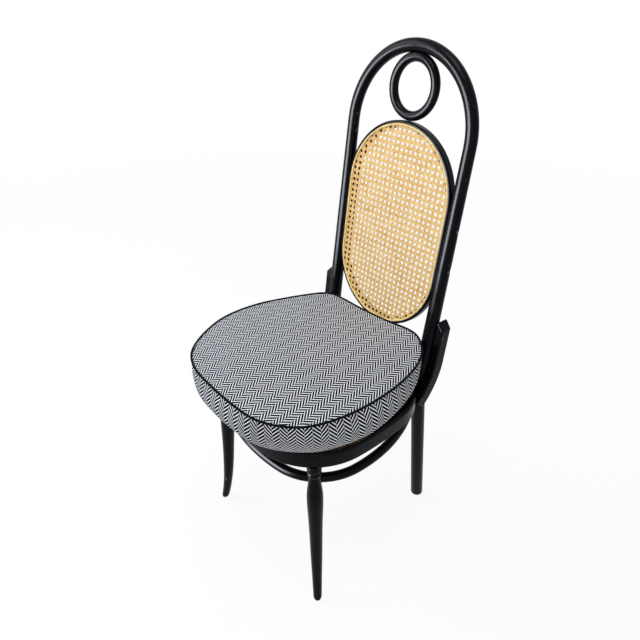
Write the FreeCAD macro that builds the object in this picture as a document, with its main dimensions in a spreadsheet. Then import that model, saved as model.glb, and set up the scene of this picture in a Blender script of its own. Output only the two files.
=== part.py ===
import FreeCAD, Part
import math
import os

# Tall-backed bentwood chair with a cane seat, a cane oval in the back and a loose box cushion.
# Millimetres. +Z is up, the front of the chair is -Y, +X is the sitter's left.
# The origin is on the floor, midway between the two uprights.

V = FreeCAD.Vector
doc = FreeCAD.newDocument("cane_back_chair")

VALUES = [
    ("overall_height", 1155, "floor to the top of the back bow"),
    ("seat_top", 450, "floor to the top of the seat ring"),
    ("ring_height", 40, "seat ring, upright size of the section"),
    ("ring_width", 32, "seat ring, width of the section"),
    ("ring_edge", 8, "rounding of the upper outer edge"),
    ("ring_foot_edge", 3, "rounding of the lower outer edge"),
    ("front_corner_x", 60, "centre of the front corner arcs"),
    ("front_corner_y", 70, "centre of the front corner arcs"),
    ("front_corner_r", 160, "radius of the front corner arcs"),
    ("rear_corner_x", 77, "centre of the rear corner arcs"),
    ("rear_corner_y", 42, "centre of the rear corner arcs"),
    ("rear_corner_r", 140, "radius of the rear corner arcs"),
    ("front_sweep", 500, "radius of the long front arc"),
    ("side_sweep", 750, "radius of the long side arcs"),
    ("rear_sweep", 550, "radius of the long rear arc"),
    ("rebate_width", 10, "ledge that carries a cane sheet"),
    ("rebate_depth", 4.2, "depth of that ledge"),
    ("cane_thickness", 1.2, "woven cane sheet"),
    ("spline_width", 5, "cord pressed over the edge of the cane"),
    ("spline_height", 2.8, "cord pressed over the edge of the cane"),
    ("mesh_pitch", 13.2, "spacing of the openings in the cane"),
    ("mesh_hole", 6, "size of the openings in the cane"),
    ("gap", 0.3, "room left between curved pieces"),
    ("lean", 7.7, "lean of the back in degrees"),
    ("back_y", 170, "back plane behind the origin at the datum height"),
    ("datum_z", 460, "height where the back plane is measured"),
    ("arch_radius", 164, "centre line of the arch"),
    ("arch_rod", 13, "radius of the rod at the arch"),
    ("upright_half", 160, "half spacing of the uprights at the datum"),
    ("leg_rod", 16.5, "radius of the rod below the seat"),
    ("knee_z", 430, "height where the rod changes direction"),
    ("knee_radius", 400, "bend of the rod at the seat"),
    ("rear_foot_x", 140, "rear foot"),
    ("rear_foot_y", 233, "rear foot"),
    ("rear_foot_edge", 6, "rounding under the rear feet"),
    ("leg_top_x", 172.5, "axis of the front leg under the seat"),
    ("leg_top_y", 165.5, "axis of the front leg under the seat"),
    ("front_foot_x", 207.8, "front foot"),
    ("front_foot_y", 193.2, "front foot"),
    ("neck_z", 376, "height of the neck under the collar"),
    ("leg_neck", 13.4, "radius of the neck"),
    ("leg_collar", 16, "radius of the collar lips"),
    ("leg_swell", 18.3, "largest radius of the front leg"),
    ("foot_radius", 10.4, "radius of the front leg near the floor"),
    ("tenon_radius", 9, "round tenon on the front leg"),
    ("tenon_length", 22, "round tenon on the front leg"),
    ("hoop_z", 345, "height of the leg hoop"),
    ("hoop_rod", 11, "radius of the leg hoop rod"),
    ("hoop_front_x", 56.5, "centre of the front hoop corners"),
    ("hoop_front_y", 53.5, "centre of the front hoop corners"),
    ("hoop_front_r", 138, "radius of the front hoop corners"),
    ("hoop_rear_x", 48, "centre of the rear hoop corners"),
    ("hoop_rear_y", 80, "centre of the rear hoop corners"),
    ("hoop_rear_r", 120, "radius of the rear hoop corners"),
    ("hoop_front_sweep", 460, "radius of the long front arc of the hoop"),
    ("hoop_side_sweep", 366, "radius of the long side arcs of the hoop"),
    ("hoop_rear_sweep", 700, "radius of the long rear arc of the hoop"),
    ("oval_bed", 0.9, "depth that the oval frame is let into an upright"),
    ("oval_lower", 237, "centre of the lower end, along the back"),
    ("oval_wall", 15, "width of the oval frame section"),
    ("oval_depth", 20, "front to back size of the oval frame"),
    ("oval_edge", 4, "rounding of the oval frame"),
    ("small_ring_radius", 55.5, "centre line of the small ring"),
    ("small_ring_rod", 9.8, "radius of the small ring rod"),
    ("small_ring_bed", 2.4, "depth that the small ring is let into the arch"),
    ("brace_gap", 0.5, "room between an upright and a side brace"),
    ("brace_thick", 20, "thickness of a side brace"),
    ("brace_width", 30, "width of a side brace"),
    ("brace_bend", 160, "bend of the brace centre line"),
    ("brace_turn", 40.9, "angle turned by the brace in degrees"),
    ("brace_bend_y", 186.5, "point where the brace starts to bend"),
    ("brace_bend_z", 515, "point where the brace starts to bend"),
    ("brace_top", 620, "height of the brace top beside the upright"),
    ("brace_drop", 22, "fall of the brace top to its outer face"),
    ("brace_edge", 4, "rounding of the brace edges"),
    ("screw_radius", 2.2, "wood screw shank"),
    ("screw_head", 4.0, "wood screw head"),
    ("head_height", 2.4, "wood screw head"),
    ("bolt_radius", 3.0, "frame bolt shank"),
    ("bolt_head", 6.5, "frame bolt head"),
    ("bolt_head_height", 3.5, "frame bolt head"),
    ("bolt_z", 424, "height of the frame bolts"),
    ("nut_radius", 5.8, "frame bolt nut"),
    ("nut_height", 5, "frame bolt nut"),
    ("washer_radius", 8, "frame bolt washer"),
    ("washer_height", 1.5, "frame bolt washer"),
    ("hole_room", 0.15, "room around a shank"),
    ("cushion_rest", 0.6, "room under the cushion"),
    ("cushion_thick", 98, "bottom of the cushion to the edge cord"),
    ("cushion_crown", 7, "rise of the cushion top above the edge cord"),
    ("cushion_front_y", 64, "centre of the front cushion corners"),
    ("cushion_rear_x", 98, "centre of the rear cushion corners"),
    ("cushion_rear_y", 40, "centre of the rear cushion corners"),
    ("cushion_rear_r", 125, "radius of the rear cushion corners"),
    ("cushion_rear_sweep", 900, "radius of the long rear edge of the cushion"),
    ("cushion_over", 16, "cushion beyond the arcs of its outline"),
    ("cushion_under", 38, "inward roll of the cushion underside"),
    ("cushion_x", -3, "cushion moved sideways"),
    ("cushion_y", -24, "cushion moved forward"),
    ("cover_thick", 1.5, "fabric cover"),
    ("welt_radius", 3.4, "cord sewn round the cushion"),
    ("welt_sink", 0.9, "depth of the cord in the cover"),
]

sheet = doc.addObject("Spreadsheet::Sheet", "dimensions")
for row, (name, value, note) in enumerate(VALUES, 1):
    sheet.set("A%d" % row, name)
    sheet.set("B%d" % row, str(value))
    sheet.set("C%d" % row, note)
    sheet.setAlias("B%d" % row, name)
doc.recompute()


def size(name):
    return float(sheet.get(name))


def bound(obj, **links):
    for prop, text in links.items():
        obj.setExpression(prop, text)
    return obj


def add(kind, name):
    obj = doc.addObject(kind, name)
    obj.Label = name
    return obj


def shaped(name, shape):
    obj = add("Part::Feature", name)
    obj.Shape = shape
    return obj


def arc(a, b, c):
    return Part.Arc(a, b, c).toShape()


def arc_about(centre, radius, start, end, z):
    mid = (start + end) / 2.0
    points = [V(centre[0] + radius * math.cos(t), centre[1] + radius * math.sin(t), z)
              for t in (start, mid, end)]
    return arc(*points)


def heading(frm, to):
    return math.atan2(to[1] - frm[1], to[0] - frm[0])


# A rounded outline: four corner arcs joined by long shallow arcs, all tangent.
def rounded_outline(front, front_r, rear, rear_r, sweeps, off, z):
    fx, fy = front
    rx, ry = rear
    sweep_f, sweep_s, sweep_r = sweeps
    cf = (0.0, -fy + math.sqrt((sweep_f - front_r) ** 2 - fx ** 2))
    cr = (0.0, ry - math.sqrt((sweep_r - rear_r) ** 2 - rx ** 2))
    dx, dy = rx - fx, ry + fy
    length = math.hypot(dx, dy)
    a, b = sweep_s - front_r, sweep_s - rear_r
    along = (a * a - b * b + length * length) / (2 * length)
    across = math.sqrt(a * a - along * along)
    side = (fx + (dx * along - dy * across) / length, -fy + (dy * along + dx * across) / length)
    front_c, rear_c = (fx, -fy), (rx, ry)
    a1, a2 = heading(cf, front_c), heading(side, front_c)
    a3, a4 = heading(side, rear_c), heading(cr, rear_c)

    def flip(centre):
        return (-centre[0], centre[1])

    pi = math.pi
    edges = [
        arc_about(cf, sweep_f + off, -pi - a1, a1, z),
        arc_about(front_c, front_r + off, a1, a2, z),
        arc_about(side, sweep_s + off, a2, a3, z),
        arc_about(rear_c, rear_r + off, a3, a4, z),
        arc_about(cr, sweep_r + off, a4, pi - a4, z),
        arc_about(flip(rear_c), rear_r + off, pi - a4, pi - a3, z),
        arc_about(flip(side), sweep_s + off, pi - a3, pi - a2, z),
        arc_about(flip(front_c), front_r + off, pi - a2, pi - a1, z),
    ]
    return Part.Wire(Part.__sortEdges__(edges))


def seat_outline(off, z):
    return rounded_outline(
        (size("front_corner_x"), size("front_corner_y")), size("front_corner_r"),
        (size("rear_corner_x"), size("rear_corner_y")), size("rear_corner_r"),
        (size("front_sweep"), size("side_sweep"), size("rear_sweep")), off, z)


def hoop_line(z):
    return rounded_outline(
        (size("hoop_front_x"), size("hoop_front_y")), size("hoop_front_r"),
        (size("hoop_rear_x"), size("hoop_rear_y")), size("hoop_rear_r"),
        (size("hoop_front_sweep"), size("hoop_side_sweep"), size("hoop_rear_sweep")), 0.0, z)


def slab(wire, height):
    return Part.Face(wire).extrude(V(0, 0, height))


def cylinder(radius, start, end):
    axis = end - start
    return Part.makeCylinder(radius, axis.Length, start, axis)


# A drilled hole for a screw: shank and head room, the head at the start point.
def drilled(start, direction, length, shank, head, head_height):
    room = size("hole_room")
    d = V(direction).normalize()
    hole = cylinder(shank + room, start, start + d * (length + 0.6))
    seat = cylinder(head + room, start - d * 12.0, start + d * (head_height + room))
    return hole.fuse(seat)


theta = math.radians(size("lean"))
back_place = FreeCAD.Placement(
    V(0, size("back_y"), size("datum_z")), FreeCAD.Rotation(V(1, 0, 0), -size("lean")))


# Point on the back: x across, off behind the back plane, s up along it.
def on_back(x, off, s):
    return back_place.multVec(V(x, off, s))


def back_dir(x, off, s):
    return back_place.Rotation.multVec(V(x, off, s))


# Back bow: one rod from foot to foot.
arch_r = size("arch_radius")
arch_top_s = (size("overall_height") - size("arch_rod") - size("datum_z")) / math.cos(theta)
arch_s = arch_top_s - arch_r
splay = 0.0
for _ in range(6):
    splay = (arch_r / math.cos(splay) - size("upright_half")) / arch_s


def rod_circle(radius, centre, normal):
    return Part.Face(Part.Wire(Part.Circle(centre, normal, radius).toShape()))


def upright_point(side, s):
    x = size("upright_half") + s * math.tan(splay)
    return on_back(side * x, 0, s)


def knee(side):
    k = upright_point(side, (size("knee_z") - size("datum_z")) / math.cos(theta))
    foot = V(side * size("rear_foot_x"), size("rear_foot_y"), 0)
    up = back_dir(side * math.sin(splay), 0, math.cos(splay)).normalize()
    down = (foot - k).normalize()
    half = (math.pi - up.getAngle(down)) / 2.0
    reach = size("knee_radius") * math.tan(half)
    inward = (up + down).normalize()
    centre = k + inward * (size("knee_radius") / math.cos(half))
    return k + up * reach, k + down * reach, centre, up, down, 2 * half, foot


def bow_shape(grow=0.0):
    top_r = size("arch_rod") + grow
    low_r = size("leg_rod") + grow
    spring = upright_point(1, arch_s - arch_r * math.sin(splay))
    tangent = back_dir(math.sin(splay), 0, math.cos(splay))
    arch = rod_circle(top_r, spring, tangent)
    arch = arch.revolve(on_back(0, 0, arch_s), back_dir(0, -1, 0), 180 + 2 * math.degrees(splay))
    pieces = [arch]
    for side in (1, -1):
        high, low, centre, up, down, turn, foot = knee(side)
        spring = upright_point(side, arch_s - arch_r * math.sin(splay))
        run = spring - high
        pieces.append(Part.makeCone(low_r, top_r, run.Length, high, run))
        bend = rod_circle(low_r, high, up)
        axis = (high - centre).cross(low - centre)
        pieces.append(bend.revolve(centre, axis, math.degrees(turn)))
        leg = cylinder(low_r, low, foot + down * 30)
        floor = Part.makeBox(200, 200, 60, V(foot.x - 100, foot.y - 100, -60))
        leg = leg.cut(floor)
        if grow == 0.0:
            rim = [e for e in leg.Edges if max(abs(v.Point.z) for v in e.Vertexes) < 0.01]
            leg = leg.makeFillet(size("rear_foot_edge"), rim)
        pieces.append(leg)
    return pieces[0].multiFuse(pieces[1:])


bow = bow_shape()
gap = size("gap")


# Radius of the rod at a height along the back: it thins evenly from the knee to the arch.
def rod_radius(s):
    from_s = (size("knee_z") - size("datum_z")) / math.cos(theta)
    share = (s - from_s) / (arch_s - from_s)
    return size("leg_rod") + (size("arch_rod") - size("leg_rod")) * share


# The oval fills the width between the uprights, and the small ring sits between it and the arch.
ring_reach = size("small_ring_radius") + size("small_ring_rod")
small_ring_s = arch_top_s - size("arch_rod") + size("small_ring_bed") - ring_reach
oval_mid_s = (size("oval_lower") + small_ring_s) / 2.0
oval_half = upright_point(1, oval_mid_s).x - rod_radius(oval_mid_s) + size("oval_bed")
oval_upper = small_ring_s - ring_reach - gap - oval_half

# Seat ring with its cane ledge.
top = size("seat_top")
low = top - size("ring_height")
ledge = size("ring_width") - size("rebate_width")
ring = slab(seat_outline(0, low), size("ring_height"))


def outer_rim(shape, z):
    edges = []
    for e in shape.Edges:
        points = [v.Point for v in e.Vertexes]
        if all(abs(p.z - z) < 0.01 for p in points):
            edges.append(e)
    return edges


ring = ring.makeFillet(size("ring_edge"), outer_rim(ring, top))
ring = ring.makeFillet(size("ring_foot_edge"), outer_rim(ring, low))
ring = ring.cut(slab(seat_outline(-size("ring_width"), low - 1), size("ring_height") + 2))
ring = ring.cut(slab(seat_outline(-ledge, top - size("rebate_depth")), size("rebate_depth") + 1))
ring_block = slab(seat_outline(gap, low - gap), size("ring_height") + 2 * gap)
bow = bow.cut(ring_block)

# Frame bolts: through each upright and the seat ring, square to the corner arc.
corner = V(size("rear_corner_x"), size("rear_corner_y"), 0)
bolts = []
for side in (1, -1):
    level = size("bolt_z")
    high, _, centre, _, _, _, _ = knee(side)
    offset = math.sqrt(size("knee_radius") ** 2 - (level - centre.z) ** 2)
    axis_y = centre.y - offset
    axis_x = abs(upright_point(side, (level - size("datum_z")) / math.cos(theta)).x)
    out = V(axis_x - corner.x, axis_y - corner.y, 0).normalize()
    reach = math.hypot(axis_x - corner.x, axis_y - corner.y) + size("leg_rod") - 1.0
    head_at = V(corner.x, corner.y, level) + out * reach
    inner = size("rear_corner_r") - size("ring_width") - 0.7
    face_at = V(corner.x, corner.y, level) + out * inner
    end_at = face_at - out * (size("washer_height") + size("nut_height") + 2.0)
    if side < 0:
        head_at, face_at, end_at, out = [V(-p.x, p.y, p.z) for p in (head_at, face_at, end_at, out)]
    bolts.append((head_at, face_at, end_at, out))
    room = size("hole_room")
    bore = cylinder(size("bolt_radius") + room, head_at + out * 10, end_at - out * 5)
    seat = cylinder(size("bolt_head") + room, head_at - out * size("bolt_head_height"),
                    head_at + out * 14)
    bow = bow.cut(bore.fuse(seat))
    ring = ring.cut(bore)

# Front legs: round tenon, turned collar, long swelling, outward curve at the foot.
neck = size("neck_z")
swell = [(0.0, 0.0), (0.035, 0.06), (0.085, 0.50), (0.135, 0.90), (0.18, 1.0), (0.25, 0.86)]
taper = [(0.37, 0.70), (0.51, 0.545), (0.64, 0.42), (0.78, 0.24), (0.90, 0.08), (0.965, 0.0)]


def leg_radius(step, share):
    if step <= 0.25:
        return size("leg_neck") + (size("leg_swell") - size("leg_neck")) * share
    return size("foot_radius") + (size("leg_swell") - size("foot_radius")) * share


def leg_axis(side, z):
    run_x = size("front_foot_x") - size("leg_top_x")
    run_y = size("front_foot_y") - size("leg_top_y")
    t = (neck - z) / neck
    share = 0.66 * t + 0.34 * t ** 5
    return V(side * (size("leg_top_x") + run_x * share), -(size("leg_top_y") + run_y * share), z)


def leg_shape(side):
    rings = []
    for step, share in swell + taper:
        centre = leg_axis(side, neck * (1 - step))
        rings.append(Part.Wire(Part.Circle(centre, V(0, 0, 1), leg_radius(step, share)).toShape()))
    foot = size("foot_radius")
    for z, radius in ((6.0, foot - 0.8), (2.0, foot - 2.4), (0.0, foot - 4.6)):
        centre = leg_axis(side, z)
        rings.append(Part.Wire(Part.Circle(centre, V(0, 0, 1), radius).toShape()))
    shaft = Part.makeLoft(rings, True, False)
    x, y = side * size("leg_top_x"), -size("leg_top_y")
    shoulder = low - gap
    lip, thin, tenon = size("leg_collar"), size("leg_neck"), size("tenon_radius")
    rise = shoulder - neck
    profile = [
        Part.makeLine(V(0, 0, neck), V(thin, 0, neck)),
        arc(V(thin, 0, neck), V(thin + 0.4, 0, neck + 0.10 * rise), V(lip - 0.8, 0, neck + 0.15 * rise)),
        arc(V(lip - 0.8, 0, neck + 0.15 * rise), V(lip, 0, neck + 0.26 * rise),
            V(lip - 1.6, 0, neck + 0.38 * rise)),
        arc(V(lip - 1.6, 0, neck + 0.38 * rise), V(lip - 2.2, 0, neck + 0.44 * rise),
            V(lip - 1.6, 0, neck + 0.50 * rise)),
        arc(V(lip - 1.6, 0, neck + 0.50 * rise), V(lip + 0.2, 0, neck + 0.68 * rise),
            V(lip - 1.2, 0, neck + 0.86 * rise)),
        Part.makeLine(V(lip - 1.2, 0, neck + 0.86 * rise), V(lip - 1.2, 0, shoulder)),
        Part.makeLine(V(lip - 1.2, 0, shoulder), V(tenon, 0, shoulder)),
        Part.makeLine(V(tenon, 0, shoulder), V(tenon, 0, shoulder + size("tenon_length"))),
        Part.makeLine(V(tenon, 0, shoulder + size("tenon_length")),
                      V(0, 0, shoulder + size("tenon_length"))),
        Part.makeLine(V(0, 0, shoulder + size("tenon_length")), V(0, 0, neck)),
    ]
    collar = Part.Face(Part.Wire(profile)).revolve(V(0, 0, 0), V(0, 0, 1), 360)
    collar.translate(V(x, y, 0))
    return shaft.fuse(collar)


legs = {side: leg_shape(side) for side in (1, -1)}
for side in (1, -1):
    x, y = side * size("leg_top_x"), -size("leg_top_y")
    socket = Part.makeCylinder(size("tenon_radius") + gap, size("tenon_length") + 1.0, V(x, y, low - 1))
    ring = ring.cut(socket)

# Leg hoop: one round rod bent into a rounded square, let slightly into each leg.
hoop_z = size("hoop_z")
hoop_path = hoop_line(hoop_z)
hoop_first = hoop_path.OrderedEdges[0]
hoop_start = hoop_first.valueAt(hoop_first.FirstParameter)
hoop_along = hoop_first.tangentAt(hoop_first.FirstParameter)


def hoop_rod(radius):
    profile = Part.Wire(Part.Circle(hoop_start, hoop_along, radius).toShape())
    return hoop_path.makePipeShell([profile], True, False)


hoop = hoop_rod(size("hoop_rod"))
hoop_room = hoop_rod(size("hoop_rod") + gap)
bow = bow.cut(hoop_room)
hoop_screws = []
for side in (1, -1):
    for at, pivot, bend in (
            ("front", V(size("hoop_front_x"), -size("hoop_front_y"), hoop_z), size("hoop_front_r")),
            ("rear", V(size("hoop_rear_x"), size("hoop_rear_y"), hoop_z), size("hoop_rear_r"))):
        if at == "front":
            legs[side] = legs[side].cut(hoop_room)
            axis = leg_axis(1, hoop_z)
        else:
            _, low_end, _, _, down, _, foot = knee(1)
            axis = low_end + down * ((low_end.z - hoop_z) / -down.z)
        out = V(axis.x - pivot.x, axis.y - pivot.y, 0).normalize()
        begin = pivot + out * (bend - size("hoop_rod") + 0.4)
        begin = V(side * begin.x, begin.y, begin.z)
        out = V(side * out.x, out.y, 0)
        length = 2 * size("hoop_rod") + 12
        hoop_screws.append((begin, out, length))
        hole = drilled(begin, out, length, size("screw_radius"), size("screw_head"),
                       size("head_height"))
        hoop = hoop.cut(hole)
        if at == "front":
            legs[side] = legs[side].cut(hole)
        else:
            bow = bow.cut(hole)


# Oval frame and its cane, laid out flat on the back plane and then tilted with it.
def stadium(half, off):
    s1, s2 = oval_upper, size("oval_lower")
    edges = [
        Part.makeLine(V(half, off, s2), V(half, off, s1)),
        arc(V(half, off, s1), V(0, off, s1 + half), V(-half, off, s1)),
        Part.makeLine(V(-half, off, s1), V(-half, off, s2)),
        arc(V(-half, off, s2), V(0, off, s2 - half), V(half, off, s2)),
    ]
    return Part.Wire(edges)


def plate(half, front, back):
    return Part.Face(stadium(half, front)).extrude(V(0, back - front, 0))


half = oval_half
hollow = half - size("oval_wall")
front = -size("oval_depth") / 2.0
shelf = front + size("rebate_depth")
oval = plate(half, front, -front)
oval_rims = [e for e in oval.Edges if all(abs(abs(v.Point.y) - abs(front)) < 0.01 for v in e.Vertexes)]
oval = oval.makeFillet(size("oval_edge"), oval_rims)
oval = oval.cut(plate(hollow, front - 1, -front + 1))
oval = oval.cut(plate(hollow + size("rebate_width"), front - 1, shelf))
oval.Placement = back_place
oval = oval.cut(bow_shape(gap))
frame_screws = []
for side in (1, -1):
    for s in (size("oval_lower") + 35, oval_upper - 35):
        axis = upright_point(side, s)
        begin = axis + V(side, 0, 0) * (rod_radius(s) - 0.5)
        length = abs(begin.x) - hollow - 4.0
        frame_screws.append((begin, V(-side, 0, 0), length))
        hole = drilled(begin, V(-side, 0, 0), length, size("screw_radius"), size("screw_head"),
                       size("head_height"))
        bow = bow.cut(hole)
        oval = oval.cut(hole)

# Small ring between the oval and the top of the arch.
small = add("Part::Torus", "small_ring_blank")
bound(small, Radius1="dimensions.small_ring_radius", Radius2="dimensions.small_ring_rod")
small.Placement = back_place.multiply(FreeCAD.Placement(
    V(0, 0, small_ring_s), FreeCAD.Rotation(V(1, 0, 0), 90)))
ring_screws = []
upper_head = on_back(0, 0, arch_top_s + size("arch_rod") - 0.5)
upper_length = 2 * size("arch_rod") + 1.3 * size("small_ring_rod")
ring_screws.append((upper_head, back_dir(0, 0, -1), upper_length))
lower_head = on_back(0, 0, oval_upper + hollow + 0.5)
lower_length = size("oval_wall") + 1.4 * size("small_ring_rod")
ring_screws.append((lower_head, back_dir(0, 0, 1), lower_length))
small_room = [bow_shape(gap)]
for begin, out, length in ring_screws:
    hole = drilled(begin, out, length, size("screw_radius"), size("screw_head"), size("head_height"))
    small_room.append(hole)
    bow = bow.cut(hole)
    oval = oval.cut(hole)
small_tool = shaped("small_ring_room", small_room[0].multiFuse(small_room[1:]))
small_ring = add("Part::Cut", "top_ring")
small_ring.Base = small
small_ring.Tool = small_tool


# Side braces: flat bent strips outside the uprights, from the back down to the seat ring.
brace_x = size("upright_half") + size("leg_rod") + size("brace_gap")


def brace_shape():
    pivot_y = size("brace_bend_y") - size("brace_bend") * math.cos(theta)
    pivot_z = size("brace_bend_z") + size("brace_bend") * math.sin(theta)
    wide = size("brace_width") / 2.0
    x = brace_x
    turn = math.radians(size("brace_turn"))

    def swing(radius, angle):
        return V(x, pivot_y + radius * math.cos(angle), pivot_z + radius * math.sin(angle))

    inner, outer = size("brace_bend") - wide, size("brace_bend") + wide
    lift = V(0, math.sin(theta), math.cos(theta))
    first = swing(inner, -theta)
    last = swing(outer, -theta)
    peak, drop = size("brace_top"), size("brace_drop")
    front_top = first + lift * ((peak - first.z) / lift.z)
    rear_top = last + lift * ((peak - last.z) / lift.z)
    edges = [
        Part.makeLine(front_top, first),
        arc(first, swing(inner, -theta - turn / 2), swing(inner, -theta - turn)),
        Part.makeLine(swing(inner, -theta - turn), swing(outer, -theta - turn)),
        arc(swing(outer, -theta - turn), swing(outer, -theta - turn / 2), last),
        Part.makeLine(last, rear_top),
        Part.makeLine(rear_top, front_top),
    ]
    thick = size("brace_thick")
    strip = Part.Face(Part.Wire(edges)).extrude(V(thick, 0, 0))
    slope = Part.makePolygon([V(x, 0, peak), V(x + 2 * thick, 0, peak - 2 * drop),
                              V(x + 2 * thick, 0, peak + drop), V(x, 0, peak)])
    strip = strip.cut(Part.Face(slope).extrude(V(0, 2 * rear_top.y, 0)))
    strip = strip.makeFillet(size("brace_edge"), strip.Edges)
    low_hold = swing(inner + 8, 0.09 - theta - turn)
    high_hold = on_back(x, 1, (peak - drop - 18 - size("datum_z")) / math.cos(theta))
    return strip.cut(ring_block).cut(bow_shape(gap)), (high_hold, low_hold)


def mirrored(shape):
    return shape.mirror(V(0, 0, 0), V(1, 0, 0))


brace, holds = brace_shape()
brace_screws = []
for hold, length in zip(holds, (size("brace_thick") + 14, size("brace_thick") + 16)):
    begin = V(brace_x + size("brace_thick") - 0.5, hold.y, hold.z)
    hole = drilled(begin, V(-1, 0, 0), length, size("screw_radius"), size("screw_head"),
                   size("head_height"))
    brace = brace.cut(hole)
    for side in (1, -1):
        brace_screws.append((V(side * begin.x, begin.y, begin.z), V(-side, 0, 0), length))
        own = hole if side > 0 else mirrored(hole)
        bow = bow.cut(own)
        ring = ring.cut(own)
braces = {1: brace, -1: mirrored(brace)}


# Cane sheets: a thin plate pierced on a square grid, clear of the ledge it lies on.
def pierced(outline, keep, flat):
    region = Part.Face(keep)
    box = region.BoundBox
    pitch, hole = size("mesh_pitch"), size("mesh_hole") / 2.0
    holes = []
    count_u = int(box.XLength / pitch / 2) + 1
    low_v, high_v = (box.YMin, box.YMax) if flat else (box.ZMin, box.ZMax)
    middle = (low_v + high_v) / 2.0
    count_v = int((high_v - low_v) / pitch / 2) + 1
    for i in range(-count_u, count_u + 1):
        for j in range(-count_v, count_v + 1):
            u, v = i * pitch, middle + j * pitch
            corners = [(u + a * hole, v + b * hole) for a, b in ((-1, -1), (1, -1), (1, 1), (-1, 1))]
            if flat:
                points = [V(a, b, box.ZMin) for a, b in corners]
            else:
                points = [V(a, box.YMin, b) for a, b in corners]
            if all(region.isInside(p, 0.01, True) for p in points):
                holes.append(Part.makePolygon(points + points[:1]))
    return Part.makeFace([outline] + holes, "Part::FaceMakerBullseye")


def extruded(name, face, direction, link):
    base = shaped(name + "_outline", face)
    sheet_part = add("Part::Extrusion", name)
    sheet_part.Base = base
    sheet_part.DirMode = "Custom"
    sheet_part.Dir = direction
    sheet_part.Solid = True
    return bound(sheet_part, LengthFwd="dimensions." + link)


def band(outer, inner):
    return Part.makeFace([outer, inner], "Part::FaceMakerBullseye")


floor_z = top - size("rebate_depth")
edge = ledge + gap
seat_cane = extruded("seat_cane", pierced(
    seat_outline(-edge, floor_z), seat_outline(-size("ring_width") - 3, floor_z), True),
    V(0, 0, 1), "cane_thickness")
spline_z = floor_z + size("cane_thickness")
seat_spline = extruded("seat_spline", band(
    seat_outline(-edge, spline_z), seat_outline(-edge - size("spline_width"), spline_z)),
    V(0, 0, 1), "spline_height")

cane_half = hollow + size("rebate_width") - gap
spline_off = shelf - size("cane_thickness")
back_cane = extruded("back_cane", pierced(
    stadium(cane_half, shelf), stadium(hollow - 3, shelf), False), V(0, -1, 0), "cane_thickness")
back_cane.Placement = back_place
back_spline = extruded("back_spline", band(
    stadium(cane_half, spline_off), stadium(cane_half - size("spline_width"), spline_off)),
    V(0, -1, 0), "spline_height")
back_spline.Placement = back_place


# Loose cushion: foam inside a sewn cover, with a cord round the top edge.
def cushion_outline(off, z):
    wire = rounded_outline(
        (size("front_corner_x"), size("cushion_front_y")), size("front_corner_r"),
        (size("cushion_rear_x"), size("cushion_rear_y")), size("cushion_rear_r"),
        (size("front_sweep"), size("side_sweep"), size("cushion_rear_sweep")),
        size("cushion_over") + off, z)
    wire.translate(V(size("cushion_x"), size("cushion_y"), 0))
    return wire


cushion_low = top + size("cushion_rest")
cushion_edge = cushion_low + size("cushion_thick")
crown = size("cushion_crown")
under = size("cushion_under")


def cushion_solid(skin):
    height = size("cushion_thick") + crown - 2 * skin
    block = slab(cushion_outline(-skin, cushion_low + skin), height)
    block = block.makeFillet(under - skin, outer_rim(block, cushion_low + skin))
    return block.makeFillet(crown - skin, outer_rim(block, cushion_low + skin + height))


skin = size("cover_thick")
cord_off = size("welt_radius") - size("welt_sink")
cord_line = cushion_outline(cord_off, cushion_edge)
cord_edge = cord_line.OrderedEdges[0]
cord_start = cord_edge.valueAt(cord_edge.FirstParameter)
cord_along = cord_edge.tangentAt(cord_edge.FirstParameter)


def cord(radius):
    profile = Part.Wire(Part.Circle(cord_start, cord_along, radius).toShape())
    return cord_line.makePipeShell([profile], True, False)


cover = cushion_solid(0.0).cut(cushion_solid(skin)).cut(cord(size("welt_radius") + gap))
foam = cushion_solid(skin + gap)

solids = {
    "back_bow": bow,
    "seat_ring": ring,
    "front_leg_left": legs[1],
    "front_leg_right": legs[-1],
    "leg_hoop": hoop,
    "brace_left": braces[1],
    "brace_right": braces[-1],
    "back_frame": oval,
    "cushion_cover": cover,
    "cushion_foam": foam,
    "cushion_cord": cord(size("welt_radius")),
}
nodes = [shaped(name, shape) for name, shape in solids.items()]
nodes += [small_ring, seat_cane, seat_spline, back_cane, back_spline]


# Fasteners: each is a head and a shank, sizes taken from the sheet.
def turned(direction):
    return FreeCAD.Rotation(V(0, 0, 1), direction)


def headed(name, number, begin, out, shank, head, head_height, length):
    body = add("Part::Cylinder", "%s_shank_%d" % (name, number))
    bound(body, Radius="dimensions." + shank)
    body.Height = length
    body.Placement = FreeCAD.Placement(begin, turned(out))
    cap = add("Part::Cylinder", "%s_head_%d" % (name, number))
    bound(cap, Radius="dimensions." + head, Height="dimensions." + head_height)
    cap.Placement = FreeCAD.Placement(begin, turned(out))
    whole = add("Part::MultiFuse", "%s_%d" % (name, number))
    whole.Shapes = [body, cap]
    return whole


def group(name, members):
    together = add("Part::Compound", name)
    together.Links = members
    return together


for name, rows in (("hoop_screws", hoop_screws), ("frame_screws", frame_screws),
                   ("ring_screws", ring_screws), ("brace_screws", brace_screws)):
    made = [headed(name, n, begin, out, "screw_radius", "screw_head", "head_height", length)
            for n, (begin, out, length) in enumerate(rows, 1)]
    nodes.append(group(name, made))

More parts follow.
